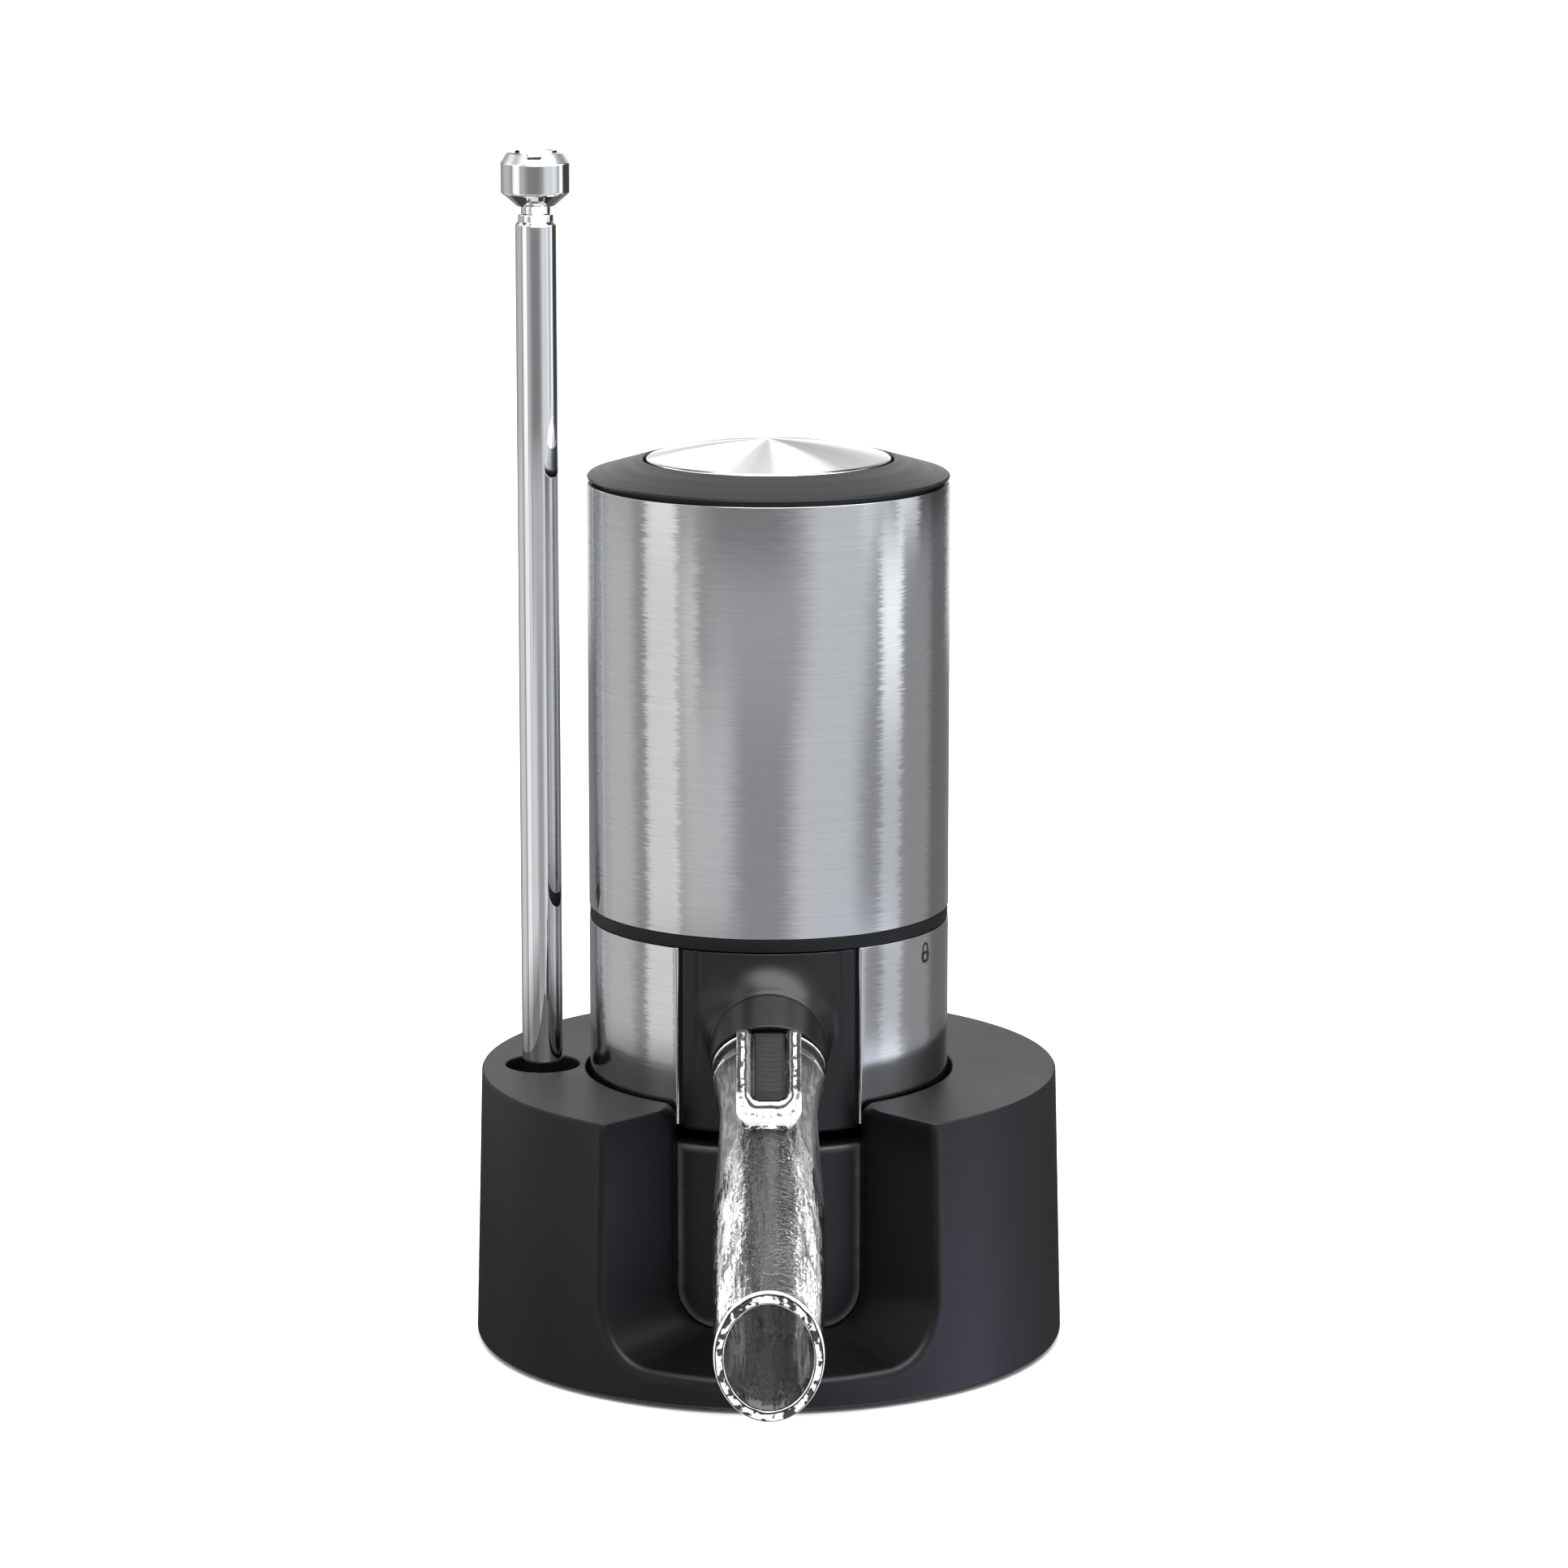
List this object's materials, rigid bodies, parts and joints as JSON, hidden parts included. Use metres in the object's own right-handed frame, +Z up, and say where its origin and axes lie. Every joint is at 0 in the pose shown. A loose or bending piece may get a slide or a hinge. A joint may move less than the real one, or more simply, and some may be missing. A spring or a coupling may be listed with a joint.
{
  "type": "electric wine aerator",
  "caption": "Battery-powered wine aerator with a push-button head, clear pouring spout and bottle stopper, docked in a round stand that also stores its telescopic suction tube.",
  "frame": {"origin": "centre of the stand's flat underside, on the vertical axis of the body", "axes": "+Z up along the body's axis, -Y towards the spout (front), -X towards the stored suction tube"},
  "size_m": [0.0988, 0.1314, 0.1994],
  "materials": {
    "stand_black": "matte",
    "black_plastic": "satin",
    "steel": "brushed",
    "satin_metal": "satin",
    "spun_metal": "spun",
    "chrome": "polished",
    "clear_plastic": "clear",
    "rubber_black": "matte",
    "grey_plastic": "matte",
    "cell_jacket": "satin",
    "brass": "bare",
    "zinc_steel": "plated",
    "board_green": "satin"
  },
  "bodies": {
    "stand": {"stand_shell": "stand_black", "cradle_cup": "stand_black", "stand_bottom_plate": "black_plastic", "non_slip_pad": "rubber_black", "stand_screw_1": "zinc_steel", "stand_screw_2": "zinc_steel", "stand_screw_3": "zinc_steel", "stand_screw_4": "zinc_steel"},
    "lower_unit": {"lower_sleeve": "steel", "lower_core": "black_plastic", "neck_plate": "black_plastic", "bottle_collar": "black_plastic", "bottle_stopper": "rubber_black", "suction_spigot": "black_plastic", "wine_gooseneck": "grey_plastic", "air_valve": "rubber_black", "air_duct": "grey_plastic", "aeration_insert": "grey_plastic"},
    "spout": {"spout_tube": "clear_plastic", "spout_oring": "rubber_black"},
    "latch": {"spout_latch": "black_plastic"},
    "lock_seal": {"seal_ring": "rubber_black"},
    "head": {"upper_sleeve": "steel", "head_lock_ring": "black_plastic", "head_floor": "black_plastic", "head_chassis": "grey_plastic", "battery_cell_1": "cell_jacket", "battery_cell_2": "cell_jacket", "battery_cell_3": "cell_jacket", "battery_cell_4": "cell_jacket", "contact_bridge_lower_right": "zinc_steel", "contact_bridge_lower_left": "zinc_steel", "contact_bridge_upper": "zinc_steel", "contact_plate_minus": "zinc_steel", "contact_plate_plus": "zinc_steel", "pump_cover": "grey_plastic", "nozzle_oring": "rubber_black", "pump_housing": "grey_plastic", "pump_diaphragm": "rubber_black", "wobble_plate": "grey_plastic", "motor_can": "zinc_steel", "motor_end_cap": "grey_plastic", "magnet_front": "black_plastic", "magnet_rear": "black_plastic", "switch_board": "board_green", "push_switch": "black_plastic", "cap_ring": "satin_metal"},
    "button": {"button_disc": "spun_metal", "button_carrier": "black_plastic", "switch_plunger": "grey_plastic", "return_spring": "zinc_steel"},
    "rotor": {"motor_shaft": "zinc_steel", "motor_armature": "zinc_steel", "commutator": "brass", "eccentric_hub": "grey_plastic"},
    "tube_outer": {"tube_outer": "chrome", "tube_connector": "rubber_black"},
    "tube_middle": {"tube_middle": "chrome"},
    "tube_inner": {"tube_inner": "chrome", "suction_tip": "chrome"}
  },
  "joints": [
    {"name": "lift_out", "type": "slide", "parent": "stand", "child": "lower_unit", "axis": [0, 0, 1], "range_m": [0, 0.06]},
    {"name": "head_twist", "type": "hinge", "parent": "lower_unit", "child": "lock_seal", "pos_m": [0, 0, 0.0748], "axis": [0, 0, 1], "range_deg": [-50, 0]},
    {"name": "head_lift", "type": "slide", "parent": "lock_seal", "child": "head", "axis": [0, 0, 1], "range_m": [0, 0.03]},
    {"name": "button_press", "type": "slide", "parent": "head", "child": "button", "axis": [0, 0, -1], "range_m": [0, 0.0015], "stiffness_N_per_m": 800, "springref_m": -0.0015, "deforming": ["return_spring"]},
    {"name": "rotor_spin", "type": "hinge", "parent": "head", "child": "rotor", "pos_m": [0, 0, 0.11], "axis": [0, 0, 1], "continuous": true},
    {"name": "spout_pull", "type": "slide", "parent": "lower_unit", "child": "spout", "axis": [0, -0.8192, -0.5736], "range_m": [0, 0.018]},
    {"name": "latch_lift", "type": "hinge", "parent": "lower_unit", "child": "latch", "pos_m": [0, -0.03402, 0.06265], "axis": [-1, 0, 0], "range_deg": [0, 4], "stiffness_Nm_per_rad": 0.02, "springref_deg": -1.72},
    {"name": "tube_lift", "type": "slide", "parent": "stand", "child": "tube_outer", "axis": [0, 0, 1], "range_m": [0, 0.042]},
    {"name": "tube_extend_middle", "type": "slide", "parent": "tube_outer", "child": "tube_middle", "axis": [0, 0, 1], "range_m": [0, 0.075]},
    {"name": "tube_extend_inner", "type": "slide", "parent": "tube_middle", "child": "tube_inner", "axis": [0, 0, 1], "range_m": [0, 0.075]}
  ]
}
